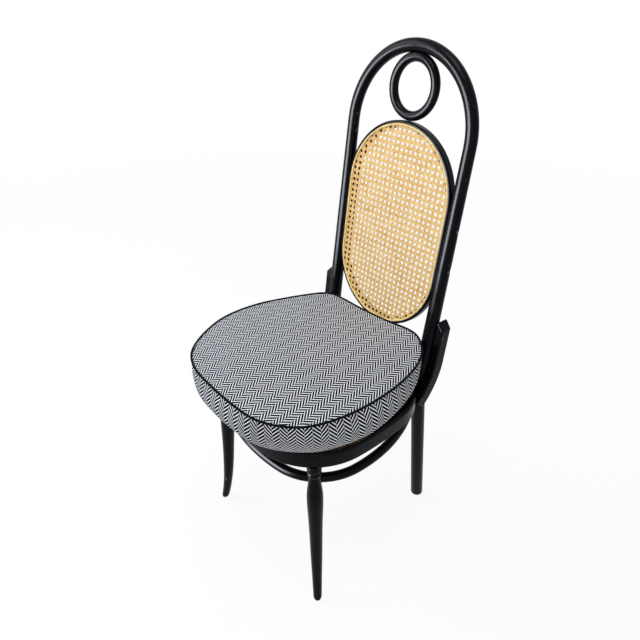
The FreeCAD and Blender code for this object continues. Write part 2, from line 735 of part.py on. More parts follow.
bolt_set, washer_set, nut_set = [], [], []
for n, (head_at, face_at, end_at, out) in enumerate(bolts, 1):
    bolt_set.append(headed("frame_bolts", n, head_at, -out, "bolt_radius", "bolt_head",
                           "bolt_head_height", (head_at - end_at).Length))
    blank = add("Part::Cylinder", "washer_blank_%d" % n)
    bound(blank, Radius="dimensions.washer_radius", Height="dimensions.washer_height")
    blank.Placement = FreeCAD.Placement(face_at, turned(-out))
    eye = add("Part::Cylinder", "washer_eye_%d" % n)
    bound(eye, Radius="dimensions.bolt_radius + dimensions.hole_room", Height="dimensions.washer_height")
    eye.Placement = FreeCAD.Placement(face_at, turned(-out))
    washer = add("Part::Cut", "washer_%d" % n)
    washer.Base, washer.Tool = blank, eye
    washer_set.append(washer)
    seat_at = face_at - out * size("washer_height")
    hexagon = add("Part::Prism", "nut_blank_%d" % n)
    hexagon.Polygon = 6
    bound(hexagon, Circumradius="dimensions.nut_radius", Height="dimensions.nut_height")
    hexagon.Placement = FreeCAD.Placement(seat_at, turned(-out))
    thread = add("Part::Cylinder", "nut_eye_%d" % n)
    bound(thread, Radius="dimensions.bolt_radius + dimensions.hole_room", Height="dimensions.nut_height")
    thread.Placement = FreeCAD.Placement(seat_at, turned(-out))
    nut = add("Part::Cut", "nut_%d" % n)
    nut.Base, nut.Tool = hexagon, thread
    nut_set.append(nut)
nodes.append(group("frame_bolts", bolt_set))
nodes.append(group("frame_washers", washer_set))
nodes.append(group("frame_nuts", nut_set))

doc.recompute()
for obj in doc.Objects:
    if "Invalid" in obj.State or "Error" in obj.State:
        raise RuntimeError("object in error: " + obj.Label)
for node in nodes:
    if node.Shape.isNull() or not node.Shape.isValid():
        raise RuntimeError("bad shape: " + node.Label)

os.makedirs("parts", exist_ok=True)
for node in nodes:
    node.Shape.exportStep("parts/%s.step" % node.Label)
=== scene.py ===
import bpy
import math
from mathutils import Matrix, Vector


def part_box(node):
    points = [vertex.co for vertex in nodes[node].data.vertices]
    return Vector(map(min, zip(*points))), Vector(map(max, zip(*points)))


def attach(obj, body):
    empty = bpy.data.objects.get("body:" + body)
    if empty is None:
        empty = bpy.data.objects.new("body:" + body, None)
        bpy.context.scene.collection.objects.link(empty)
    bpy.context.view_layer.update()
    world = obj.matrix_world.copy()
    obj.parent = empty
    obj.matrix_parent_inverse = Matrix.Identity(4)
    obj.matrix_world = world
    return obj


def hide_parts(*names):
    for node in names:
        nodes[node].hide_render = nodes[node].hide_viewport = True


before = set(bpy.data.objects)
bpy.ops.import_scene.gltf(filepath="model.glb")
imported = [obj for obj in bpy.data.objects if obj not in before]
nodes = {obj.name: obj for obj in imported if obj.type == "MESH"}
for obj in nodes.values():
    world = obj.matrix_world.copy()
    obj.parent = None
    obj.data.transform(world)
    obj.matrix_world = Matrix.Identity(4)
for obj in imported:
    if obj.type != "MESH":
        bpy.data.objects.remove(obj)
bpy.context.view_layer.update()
scene = bpy.context.scene

# Sizes are in metres. The plane of the back leans 7.7 degrees about a line across the seat, which
# is BACK_Y behind the origin and DATUM_Z above the floor.
LEAN = math.radians(7.7)
BACK_Y, DATUM_Z = 0.170, 0.460


def on_back(x, off, s):
    """Point on the leaning back: x across, off behind its plane, s up along it."""
    return Vector((x, BACK_Y + off * math.cos(LEAN) + s * math.sin(LEAN),
                   DATUM_Z - off * math.sin(LEAN) + s * math.cos(LEAN)))


def colour(text):
    """sRGB hex to the linear colour that a shader socket takes."""
    parts = [int(text[i:i + 2], 16) / 255 for i in (1, 3, 5)]
    linear = [c / 12.92 if c <= 0.04045 else ((c + 0.055) / 1.055) ** 2.4 for c in parts]
    return (*linear, 1.0)


def node(material, kind, settings=None, inputs=None):
    """Adds one shader node, with its settings, its values and the links into it."""
    made = material.node_tree.nodes.new(kind)
    for name, value in (settings or {}).items():
        setattr(made, name, value)
    for name, value in (inputs or {}).items():
        if isinstance(value, bpy.types.NodeSocket):
            material.node_tree.links.new(value, made.inputs[name])
        else:
            made.inputs[name].default_value = value
    return made


def maths(material, operation, first, second=0.0, third=0.0):
    """One step of arithmetic on values that vary over the surface."""
    return node(material, "ShaderNodeMath", {"operation": operation}, {
        0: first, 1: second, 2: third}).outputs[0]


def spread(material, value, low, high, to_low, to_high, kind="LINEAR"):
    """Takes a value between low and high to one between to_low and to_high."""
    return node(material, "ShaderNodeMapRange", {"interpolation_type": kind}, {
        0: value, 1: low, 2: high, 3: to_low, 4: to_high}).outputs[0]


def blend(material, share, first, second, kind="MIX"):
    """A colour made of two others."""
    return node(material, "ShaderNodeMix", {"data_type": "RGBA", "blend_type": kind}, {
        0: share, 6: first, 7: second}).outputs[2]


def noise(material, where, scale, detail):
    """Cloudy shades between 0 and 1; scale is about how many there are in a metre."""
    return node(material, "ShaderNodeTexNoise", inputs={
        "Vector": where, "Scale": scale, "Detail": detail}).outputs["Fac"]


def bump(material, height, strength, distance, onto=None):
    """Raises the surface by height, on top of another bump if there is one."""
    values = {"Height": height, "Strength": strength, "Distance": distance}
    if onto is not None:
        values["Normal"] = onto
    return node(material, "ShaderNodeBump", inputs=values).outputs[0]


def on_piece(material):
    """Where a point lies on the piece."""
    return node(material, "ShaderNodeTexCoord").outputs["Object"]


def start_material(name, values):
    """A new material and its shader, with the values that are the same all over."""
    material = bpy.data.materials.new(name)
    material.use_nodes = True
    shader = material.node_tree.nodes["Principled BSDF"]
    for socket, value in values.items():
        shader.inputs[socket].default_value = value
    return material, shader


def drive(material, shader, links):
    """Links what varies over the surface into the shader."""
    for name, socket in links.items():
        material.node_tree.links.new(socket, shader.inputs[name])


# The varnish thins where the wear passes the first level, and bare wood shows from the second.
NICK_FROM, NICK_TO = 0.452, 0.480


# Steam-bent beech, stained black and brushed with satin varnish. The eye sees near black with a
# cool cast, soft highlights that waver with the wood, and small tan nicks where it is knocked.
def ebonised_beech(name, worn_where=None, bare_wood="#745C44"):
    # A thin dull varnish over black stain throws back less than a glossy one does.
    mat, shader = start_material(name, {"IOR": 1.30, "Specular IOR Level": 0.15})
    place = on_piece(mat)
    # Beech grain is about 0.5 mm wide and 10 mm long; it is drawn 3 mm wide and 25 mm long, so
    # that it shows.
    along = node(mat, "ShaderNodeMapping", inputs={"Vector": place, "Scale": (330, 330, 40)})
    grain = noise(mat, along.outputs[0], 1.0, 5.0)
    # The brush leaves a slow wave, about 33 mm long. Nicks are about 5 mm, in patches of 60 mm.
    brushed = noise(mat, place, 30.0, 1.0)
    wear = maths(mat, "MULTIPLY", noise(mat, place, 210.0, 4.0), noise(mat, place, 17.0, 1.0))
    if worn_where is not None:
        wear = maths(mat, "ADD", wear, worn_where(mat, place))
    nick = spread(mat, wear, NICK_FROM, NICK_TO, 0.0, 1.0, "SMOOTHSTEP")
    tone = spread(mat, grain, 0.3, 0.75, 0.0, 1.0)
    black = blend(mat, tone, colour("#010306"), colour("#05080E"))
    grained = bump(mat, grain, 0.03, 0.0005)
    drive(mat, shader, {
        "Base Color": blend(mat, nick, black, colour(bare_wood)),
        "Roughness": spread(mat, brushed, 0.3, 0.7, 0.17, 0.27),
        "Normal": bump(mat, brushed, 0.10, 0.002, onto=grained)})
    return mat


# Rattan peel, split flat, woven wet and varnished: honey gold with a satin skin, patches of lighter
# and darker shade, a fine speck, and each strand darker and browner towards its edges.
def golden_cane(name, has_edges):
    mat, shader = start_material(name, {"Specular IOR Level": 0.03})
    place = on_piece(mat)
    patch = noise(mat, place, 24.0, 3.0)
    speck = noise(mat, place, 170.0, 2.0)
    mixed = node(mat, "ShaderNodeMix", {"data_type": "FLOAT"}, {0: 0.70, 2: patch, 3: speck})
    ramp = node(mat, "ShaderNodeValToRGB", inputs={0: mixed.outputs[0]})
    stops = ramp.color_ramp.elements
    stops[0].position, stops[0].color = 0.30, colour("#DFAC62")
    stops[1].position, stops[1].color = 0.70, colour("#FFECB4")
    middle = stops.new(0.50)
    middle.color = colour("#F6D892")
    shade, height = ramp.outputs[0], speck
    if has_edges:
        # The strand's own map runs from 0 to 1 across it.
        own_map = node(mat, "ShaderNodeUVMap", {"uv_map": "UVMap"}).outputs[0]
        across = node(mat, "ShaderNodeSeparateXYZ", inputs={0: own_map}).outputs[0]
        fold = maths(mat, "PINGPONG", across, 0.5)
        crown = spread(mat, fold, 0.0, 0.32, 0.0, 1.0, "SMOOTHSTEP")
        # Each strand is darker and browner towards its edges, where its crown falls away.
        browned = blend(mat, crown, colour("#D6AE74"), colour("#FFFFFF"))
        shade, height = blend(mat, 1.0, shade, browned, "MULTIPLY"), crown
    drive(mat, shader, {
        "Base Color": shade,
        "Roughness": spread(mat, speck, 0.3, 0.7, 0.34, 0.52),
        "Normal": bump(mat, height, 0.5, 0.0005)})
    return mat


# Upholstery cotton in a broken herringbone: columns 14.4 mm wide, stripes 8.6 mm apart along a
# column, black and off-white, with each column a half stripe out of step with the next. A stripe
# climbs STEEP times as far as it runs across, and the threads wander by up to about WANDER.
COLUMN, STRIPE, STEEP = 0.0144, 0.0086, 1.085
WANDER = 0.0012
# Threads are about 0.5 mm; drawn 1.1 mm apart, the finest that a close view still shows.
THREAD = 0.0011


def herringbone_cotton(name):
    mat, shader = start_material(name, {
        "Specular IOR Level": 0.0, "Roughness": 0.90, "Sheen Weight": 0.06,
        "Sheen Roughness": 0.5})
    uv = node(mat, "ShaderNodeUVMap", {"uv_map": "weave"}).outputs[0]
    warp = node(mat, "ShaderNodeTexNoise", inputs={"Vector": uv, "Scale": 60.0, "Detail": 2.0})
    shift = node(mat, "ShaderNodeVectorMath", {"operation": "SCALE"}, {
        0: warp.outputs["Color"], "Scale": WANDER})
    moved = node(mat, "ShaderNodeVectorMath", {"operation": "ADD"}, {0: uv, 1: shift.outputs[0]})
    parts = node(mat, "ShaderNodeSeparateXYZ", inputs={0: moved.outputs[0]})
    across, along = parts.outputs[0], parts.outputs[1]

    rise = maths(mat, "PINGPONG", across, COLUMN)
    column = maths(mat, "FLOOR", maths(mat, "DIVIDE", across, COLUMN))
    every_other = maths(mat, "PINGPONG", column, 1.0)
    phase = maths(mat, "MULTIPLY_ADD", rise, STEEP / STRIPE, maths(mat, "DIVIDE", along, STRIPE))
    phase = maths(mat, "MULTIPLY_ADD", every_other, 0.5, phase)
    wave = maths(mat, "SINE", maths(mat, "MULTIPLY", phase, 2 * math.pi))
    white = spread(mat, wave, 0.36, 0.60, 0.0, 1.0, "SMOOTHSTEP")
    threads = [maths(mat, "SINE", maths(mat, "MULTIPLY", way, 2 * math.pi / THREAD))
               for way in (across, along)]
    yarn = maths(mat, "MULTIPLY", *threads)
    lift = maths(mat, "MULTIPLY_ADD", yarn, 0.5, 0.5)
    light = blend(mat, lift, colour("#E0E5EC"), colour("#F6F8FB"))
    dark = blend(mat, lift, colour("#030406"), colour("#0C0F14"))
    height = maths(mat, "MULTIPLY_ADD", yarn, 0.35, white)
    drive(mat, shader, {
        "Base Color": blend(mat, white, dark, light),
        "Normal": bump(mat, height, 0.35, 0.0004)})
    return mat


# Black cotton twill, cut on the bias and sewn over a cord: matte, near black, with fine slanting
# ribs.
def black_twill(name):
    mat, shader = start_material(name, {
        "Specular IOR Level": 0.0, "Sheen Weight": 0.06, "Roughness": 0.7})
    turn = node(mat, "ShaderNodeMapping", inputs={
        "Vector": on_piece(mat), "Rotation": (0.5, 0.4, 0.8)})
    # Twill ribs are about 0.6 mm; drawn 1.2 mm apart so that they show.
    ribs = node(mat, "ShaderNodeTexWave", inputs={
        "Vector": turn.outputs[0], "Scale": 130.0, "Distortion": 1.5, "Detail": 2.0})
    rib = ribs.outputs["Fac"]
    drive(mat, shader, {
        "Base Color": blend(mat, rib, colour("#080B0E"), colour("#171C21")),
        "Normal": bump(mat, rib, 0.4, 0.0004)})
    return mat


# Blackened steel screws: dark grey metal, satin, a little uneven where the blacking has worn.
def blackened_steel(name):
    mat, shader = start_material(name, {"Metallic": 1.0})
    wear = noise(mat, on_piece(mat), 420.0, 3.0)
    drive(mat, shader, {
        "Base Color": blend(mat, wear, colour("#1B1C1F"), colour("#5A5B5E")),
        "Roughness": spread(mat, wear, 0.3, 0.7, 0.35, 0.55)})
    return mat


def closeness(mat, place, centre, full, none, much):
    """much within the distance full of a point, nothing beyond none, and a soft step between."""
    far = node(mat, "ShaderNodeVectorMath", {"operation": "DISTANCE"}, {0: place, 1: centre})
    return spread(mat, far.outputs["Value"], full, none, much, 0.0, "SMOOTHSTEP")


def wear_round(points):
    """Extra wear where the frame has been knocked: (point, reach, how much) for each place."""
    def worn(mat, place):
        total = 0.0
        for centre, reach, much in points:
            total = maths(mat, "ADD", total, closeness(mat, place, centre, 0.0, reach, much))
        return total
    return worn


def rim_wear(mat, place):
    """The varnish is rubbed off the top of the seat ring at the sitter's left front, where the
    cushion slides over it."""
    height = node(mat, "ShaderNodeSeparateXYZ", inputs={0: place}).outputs[2]
    on_top = spread(mat, height, 0.4490, 0.4498, 0.0, 0.30)
    near = closeness(mat, place, (0.165, -0.150, 0.450), 0.10, 0.16, 1.0)
    return maths(mat, "MULTIPLY", on_top, near)


def evenly(dense, count):
    """Evenly spaced points along a line whose last point meets its first."""
    run = [0.0]
    for before, after in zip(dense, dense[1:]):
        run.append(run[-1] + (after - before).length)
    points, k = [], 0
    for i in range(count):
        want = run[-1] * i / count
        while run[k + 1] < want:
            k += 1
        share = (want - run[k]) / max(run[k + 1] - run[k], 1e-9)
        points.append(dense[k].lerp(dense[k + 1], share))
    return points


def through(points, count):
    """Evenly spaced points on a smooth closed curve through the given ones."""
    dense, steps = [], 24
    for i in range(len(points)):
        a, b, c, d = (Vector(points[(i + k) % len(points)]) for k in range(-1, 3))
        for t in (j / steps for j in range(steps)):
            dense.append(b + (c - a) * (t / 2) + (a * 2 - b * 5 + c * 4 - d) * (t * t / 2)
                         + (b * 3 - a - c * 3 + d) * (t ** 3 / 2))
    return evenly(dense + dense[:1], count)


def rounded_outline(front, front_r, rear, rear_r, sweeps, off, count):
    """Evenly spaced points from the middle of the rear, round four corner arcs joined by shallow
    ones.

    front and rear are the middles of the corner arcs on one side, sweeps the radii of the front,
    side and rear arcs, and off moves the whole outline outwards."""
    steps = 60
    fx, fy = front
    rx, ry = rear
    cf = (0.0, -fy + math.sqrt((sweeps[0] - front_r) ** 2 - fx ** 2))
    cr = (0.0, ry - math.sqrt((sweeps[2] - rear_r) ** 2 - rx ** 2))
    dx, dy = rx - fx, ry + fy
    length = math.hypot(dx, dy)
    a, b = sweeps[1] - front_r, sweeps[1] - rear_r
    t = (a * a - b * b + length * length) / (2 * length)
    h = math.sqrt(a * a - t * t)
    side = (fx + (dx * t - dy * h) / length, -fy + (dy * t + dx * h) / length)

    def heading(start, end):
        return math.atan2(end[1] - start[1], end[0] - start[0])

    arcs = [
        (cr, sweeps[2], math.pi / 2, heading(cr, rear)),
        (rear, rear_r, heading(cr, rear), heading(side, rear)),
        (side, sweeps[1], heading(side, rear), heading(side, (fx, -fy))),
        ((fx, -fy), front_r, heading(side, (fx, -fy)), heading(cf, (fx, -fy))),
        (cf, sweeps[0], heading(cf, (fx, -fy)), -math.pi / 2),
    ]
    half = []
    for centre, radius, start, end in arcs:
        for i in range(steps):
            angle = start + (end - start) * i / steps
            half.append(Vector((centre[0] + (radius + off) * math.cos(angle),
                                centre[1] + (radius + off) * math.sin(angle))))
    half.append(Vector((0.0, half[-1].y)))
    return evenly(half + [Vector((-p.x, p.y)) for p in reversed(half[:-1])], count)


def inside(points, x, y):
    """Whether a place is inside a closed outline."""
    hit = False
    for p, q in zip(points, points[1:] + points[:1]):
        if (p.y > y) != (q.y > y) and x < p.x + (q.x - p.x) * (y - p.y) / (q.y - p.y):
            hit = not hit
    return hit


def only(obj):
    """Selects one object and nothing else."""
    bpy.ops.object.select_all(action="DESELECT")
    obj.select_set(True)
    bpy.context.view_layer.objects.active = obj


def settle(obj, name, material):
    """Puts a finished piece's place into its mesh and gives it its name and material."""
    only(obj)
    bpy.ops.object.transform_apply(location=True, rotation=True, scale=True)
    obj.name = name
    obj.data.name = name
    obj.data.materials.clear()
    obj.data.materials.append(material)


def apply_all(obj):
    """Turns an object's modifiers into mesh."""
    only(obj)
    for modifier in list(obj.modifiers):
        bpy.ops.object.modifier_apply(modifier=modifier.name)


# Woven cane. One square of the six-way weave is laid out flat round a crossing of the pairs and
# then repeated every PITCH. Upright and level strands run in plain woven pairs, PAIR either side of
# the middle. Each diagonal runs from over the sheet to under it.
PITCH = 0.0132
STRAND, DIAGONAL = 0.0030, 0.92     # a strand's width, and the share of it that a diagonal has
PAIR = 0.00150
PEEL = 0.00045                      # thickness of a strand


def strand(points, width):
    """A flat strand through points on the sheet, each (x, y, height)."""
    count = len(points) - 1
    bpy.ops.mesh.primitive_grid_add(x_subdivisions=1, y_subdivisions=count, size=1)
    made = bpy.context.object
    first, last = Vector(points[0][:2]), Vector(points[-1][:2])
    along = (last - first).normalized()
    side = Vector((along.y, -along.x))
    rows = sorted({round(v.co.y, 4) for v in made.data.vertices})
    for v in made.data.vertices:
        x, y, z = points[rows.index(round(v.co.y, 4))]
        shift = side * (width / 2 if v.co.x > 0 else -width / 2)
        v.co = (x + shift.x, y + shift.y, z)
    return made


def weave_tile():
    """One square of the weave, centred on a crossing of the pairs."""
    # h is how far a crossing strand rises, over how far a diagonal does.
    h, over, q = 0.00030, 0.00050, PITCH / 2
    strands = []
    for sign in (1, -1):
        steps = [(-q, 0.0), (-PAIR, h * sign), (PAIR, -h * sign), (q, 0.0)]
        strands.append(strand([(-PAIR * sign, t, z) for t, z in steps], STRAND))
        strands.append(strand([(t, -PAIR * sign, -z) for t, z in steps], STRAND))
    rise = ((0.0, over), (0.28, over * 0.9), (0.72, -over * 0.9), (1.0, -over))
    for start, end, sign in (((0, -q), (q, 0), 1), ((0, q), (-q, 0), 1),
                             ((0, -q), (-q, 0), -1), ((0, q), (q, 0), -1)):
        dx, dy = end[0] - start[0], end[1] - start[1]
        strands.append(strand([(start[0] + dx * t, start[1] + dy * t, z * sign)
                               for t, z in rise], STRAND * DIAGONAL))
    bpy.ops.object.select_all(action="DESELECT")
    for s in strands:
        s.select_set(True)
    bpy.context.view_layer.objects.active = strands[0]
    bpy.ops.object.join()
    return strands[0]


def woven_sheet(name, material, across, up, within, draw_in, place):
    """Repeats the tile across and up to either side, leaves out the faces that aren't within(x, y),
    draws the edge in by draw_in(x, y) and lays the sheet by place(x, y, height)."""
    tile = weave_tile()
    low = (-across * PITCH, -up * PITCH)
    tile.data.transform(Matrix.Translation((low[0], low[1], 0)))
    for axis, count in ((0, 2 * across + 1), (1, 2 * up + 1)):
        array = tile.modifiers.new("repeat", "ARRAY")
        array.count = count
        array.use_relative_offset = False
        array.use_constant_offset = True
        array.constant_offset_displace = [PITCH if i == axis else 0.0 for i in range(3)]
        array.use_merge_vertices = True
        array.merge_threshold = 0.00005
    apply_all(tile)
    only(tile)
    bpy.ops.object.mode_set(mode="EDIT")
    bpy.ops.mesh.select_mode(type="FACE")
    bpy.ops.mesh.select_all(action="DESELECT")
    bpy.ops.object.mode_set(mode="OBJECT")
    for face in tile.data.polygons:
        face.select = not within(face.center.x, face.center.y)
    bpy.ops.object.mode_set(mode="EDIT")
    bpy.ops.mesh.delete(type="FACE")
    bpy.ops.object.mode_set(mode="OBJECT")
    for v in tile.data.vertices:
        x, y = draw_in(v.co.x, v.co.y)
        v.co = place(x, y, v.co.z)
    thick = tile.modifiers.new("thickness", "SOLIDIFY")
    thick.thickness = PEEL
    thick.offset = 0.0
    apply_all(tile)
    bpy.ops.object.shade_smooth_by_angle(angle=math.radians(40))
    settle(tile, name, material)
    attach(tile, "chair_frame")
    return tile


# The oval of the back: straight sides between two half circles, whose middles are OVAL_LOW and
# OVAL_UP along the back. The frame's wall is 15 mm wide, and its ledge takes the cane 9.7 mm in.
# The frame is highest 6 mm in front of the plane of the back, and OVAL_UP is kept 0.4 mm low, so
# that the cane stays clear of the wall.
frame_low, frame_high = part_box("back_frame")
WALL, LEDGE, RIM_OFF, CLEAR = 0.015, 0.0097, 0.006, 0.0004
OVAL_HALF = (frame_high.x - frame_low.x) / 2
OVAL_LOW = 0.237
OVAL_UP = ((frame_high.z - DATUM_Z - RIM_OFF * math.sin(LEAN)) / math.cos(LEAN)
           - OVAL_HALF - CLEAR)
CANE_EDGE = OVAL_HALF - WALL + LEDGE
# A face of the weave is kept up to CANE_SPARE past the edge, and its points are then drawn in to
# CANE_TRIM inside it.
CANE_SPARE, CANE_TRIM = 0.001, 0.0005
# The middle of the weave on the back, so that its holes stand where the photograph has them.
CANE_X, CANE_S = -0.0017 + PITCH / 2, 0.3167 + PITCH / 2


def from_oval(x, y):
    """The nearest point on the oval's middle line, as the weave counts, and how far it is."""
    along = min(max(y + CANE_S, OVAL_LOW), OVAL_UP) - CANE_S
    return -CANE_X, along, math.hypot(x + CANE_X, y - along)


def in_oval(x, y):
    return from_oval(x, y)[2] <= CANE_EDGE + CANE_SPARE


def to_oval(x, y):
    middle_x, middle_y, far = from_oval(x, y)
    share = min(1.0, (CANE_EDGE - CANE_TRIM) / max(far, 1e-9))
    return middle_x + (x - middle_x) * share, middle_y + (y - middle_y) * share


cane = golden_cane("varnished_rattan_cane", has_edges=True)
cane_cord = golden_cane("varnished_rattan_spline", has_edges=False)

# The sheet and its spline lie in front of the plane of the back.
CANE_OFF, SPLINE_OFF = -0.0066, -0.0080
back_cane = woven_sheet("woven_back_cane", cane, 12, 19, in_oval, to_oval,
                        lambda x, y, z: on_back(x + CANE_X, CANE_OFF - z, y + CANE_S))
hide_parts("back_cane")

# The seat ring's outer edge, as in the CAD. Its cane ends 22.3 mm inside that edge.
SEAT_SHAPE = ((0.060, 0.070), 0.160, (0.077, 0.042), 0.140, (0.500, 0.750, 0.550))
CANE_INSET, SEAT_CANE_Z, SEAT_SPLINE_Z = 0.0223, 0.4464, 0.4480
seat_edge = rounded_outline(*SEAT_SHAPE, -CANE_INSET, 240)
seat_trim = rounded_outline(*SEAT_SHAPE, -CANE_INSET - CANE_TRIM, 240)


def in_seat(x, y):
    return inside(seat_edge, x, y)


def to_seat(x, y):
    if inside(seat_trim, x, y):
        return x, y
    near = min(seat_trim, key=lambda p: (p.x - x) ** 2 + (p.y - y) ** 2)
    return near.x, near.y


seat_cane = woven_sheet("woven_seat_cane", cane, 16, 16, in_seat, to_seat,
                        lambda x, y, z: Vector((x, y, SEAT_CANE_Z + z)))
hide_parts("seat_cane")


def bead(name, material, points, radius, flatten, body, ring=10):
    """A round cord along a closed line, with ring faces round it.

    flatten is (direction, share): along that direction only the share of its thickness is left."""
    curve = bpy.data.curves.new(name, "CURVE")
    curve.dimensions = "3D"
    line = curve.splines.new("POLY")
    line.points.add(len(points) - 1)
    for spot, p in zip(line.points, points):
        spot.co = (*p, 1.0)
    line.use_cyclic_u = True
    curve.bevel_depth = radius
    curve.bevel_resolution = ring // 2 - 2
    made = bpy.data.objects.new(name, curve)
    scene.collection.objects.link(made)
    only(made)
    bpy.ops.object.convert(target="MESH")
    made = bpy.context.object
    if flatten is not None:
        direction, share = flatten
        for v in made.data.vertices:
            near = min(points, key=lambda p: (p - v.co).length_squared)
            height = (v.co - near).dot(direction)
            v.co -= direction * height * (1 - share)
    bpy.ops.object.shade_smooth()
    settle(made, name, material)
    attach(made, body)
    return made


def round_oval(radius, off, count):
    """Evenly spaced points round the oval, at a distance from its middle line."""
    points = []
    straight, half_turn = OVAL_UP - OVAL_LOW, math.pi * radius
    total = 2 * (straight + half_turn)
    for i in range(count):
        d = total * i / count
        if d < straight:
            x, s = radius, OVAL_LOW + d
        elif d < straight + half_turn:
            a = (d - straight) / radius
            x, s = radius * math.cos(a), OVAL_UP + radius * math.sin(a)
        elif d < 2 * straight + half_turn:
            x, s = -radius, OVAL_UP - (d - straight - half_turn)
        else:
            a = math.pi + (d - 2 * straight - half_turn) / radius
            x, s = radius * math.cos(a), OVAL_LOW + radius * math.sin(a)
        points.append(on_back(x, off, s))
    return points


SPLINE, PRESSED = 0.0025, 0.62      # the cord's radius, and the share of it that stands up
front_normal = (on_back(0, -1, 0) - on_back(0, 0, 0)).normalized()
back_spline = bead("back_spline_cord", cane_cord, round_oval(CANE_EDGE - SPLINE, SPLINE_OFF, 220),
                   SPLINE, (front_normal, PRESSED), "chair_frame")
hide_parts("back_spline")
seat_line = [Vector((p.x, p.y, SEAT_SPLINE_Z))
             for p in rounded_outline(*SEAT_SHAPE, -CANE_INSET - SPLINE, 220)]
seat_spline = bead("seat_spline_cord", cane_cord, seat_line,
                   SPLINE, (Vector((0, 0, 1)), PRESSED), "chair_frame")
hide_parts("seat_spline")

# Loose box cushion. Its top seam runs through these points, from the middle of the rear edge round
# by the sitter's left: the cushion lies a little askew, and its rear left corner is pushed up by
# the upright.
SEAM = [
    (0.000, 0.1690, 0.557), (0.045, 0.1705, 0.560), (0.083, 0.1725, 0.564),
    (0.111, 0.1735, 0.566), (0.137, 0.1690, 0.566), (0.161, 0.1560, 0.562),
    (0.187, 0.1300, 0.556), (0.207, 0.0830, 0.551), (0.221, 0.0150, 0.549),
    (0.225, -0.0660, 0.549), (0.217, -0.1370, 0.549), (0.196, -0.1960, 0.549),
    (0.160, -0.2360, 0.549), (0.108, -0.2620, 0.549), (0.040, -0.2700, 0.549),
    (-0.035, -0.2710, 0.549), (-0.103, -0.2660, 0.549), (-0.160, -0.2430, 0.549),
    (-0.203, -0.1960, 0.549), (-0.234, -0.1300, 0.551), (-0.242, -0.0700, 0.552),
    (-0.234, -0.0050, 0.553), (-0.213, 0.0550, 0.554), (-0.188, 0.1120, 0.555),
    (-0.168, 0.1450, 0.556), (-0.146, 0.1600, 0.556), (-0.110, 0.1655, 0.556),
    (-0.055, 0.1665, 0.556)]
FRONT_SEAM_Z = 0.549
UNDER_Z = 0.4508        # the underside, a hair above the seat ring
AROUND = 160            # points round the cushion
BELLY_FULL = 0.6        # the share of the height from which the side has all its belly
# The filling pushes the cloth out by so much at most, in SWELL_STEPS of the simulation.
TOP_RISE, SIDE_SWELL, SWELL_STEPS = 0.0105, 0.0050, 20
FACES_UP = 0.6          # a face belongs to the top when its normal rises by more than this
# The strip round the side shows a slightly more open repeat than the top, and the top's repeat is
# turned by about six degrees. Each row of TOP_TURN gives one axis of the pattern.
STRIP_REPEAT = (0.92, 0.935)
TOP_TURN = ((0.9944, 0.1064), (0.0944, 0.9955))


def seam_line(off, count):
    """Points on the seam, moved outwards by off, and the outward directions."""
    line = through(SEAM, count)
    normals = []
    for i in range(count):
        step = line[(i + 1) % count] - line[i - 1]
        normals.append(Vector((-step.y, step.x, 0)).normalized())
    return [p + n * off for p, n in zip(line, normals)], normals


# The side of the cushion from the seam down: how far out, and the share of the height.
PROFILE = [(0.0, 0.0), (0.0016, 0.09), (0.0026, 0.19), (0.0028, 0.33), (0.0010, 0.49),
           (-0.0036, 0.64), (-0.0105, 0.775), (-0.0180, 0.88), (-0.0260, 0.955),
           (-0.0340, 0.992), (-0.0420, 1.0)]


def belly(n):
    """How far the side bulges where it faces along n: most at the sitter's left and the front,
    and pulled in at the corners."""
    corner = abs(n.x * n.y) * 2
    much = 0.004 + 0.012 * max(n.x, 0.0) ** 2 + 0.007 * max(-n.y, 0.0) ** 2
    return much * (1 - corner) - 0.003 * corner


